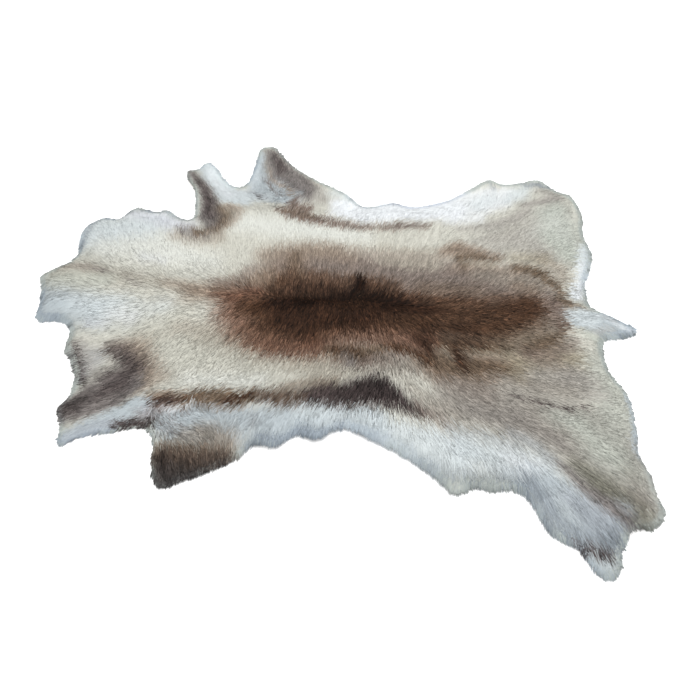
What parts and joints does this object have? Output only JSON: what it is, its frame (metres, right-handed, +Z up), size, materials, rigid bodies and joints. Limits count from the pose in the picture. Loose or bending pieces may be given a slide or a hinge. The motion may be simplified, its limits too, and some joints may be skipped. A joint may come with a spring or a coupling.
{
  "type": "reindeer hide",
  "caption": "Tanned hide with its hair on, spread flat hair side up, with neck, foreleg strips, elbow flaps, hind legs and tail; a throw or rug.",
  "frame": {"origin": "on the flat flesh side, under the middle of the bounding box", "axes": "+X along the back from the neck to the tail, +Y towards the animal's right side, +Z up through the hair"},
  "size_m": [1.37, 1.0398, 0.038],
  "materials": {
    "coat": "soft hair coat, white to dark brown",
    "skin": "matt suede"
  },
  "bodies": {
    "root": {"hide": "coat"}
  },
  "joints": []
}
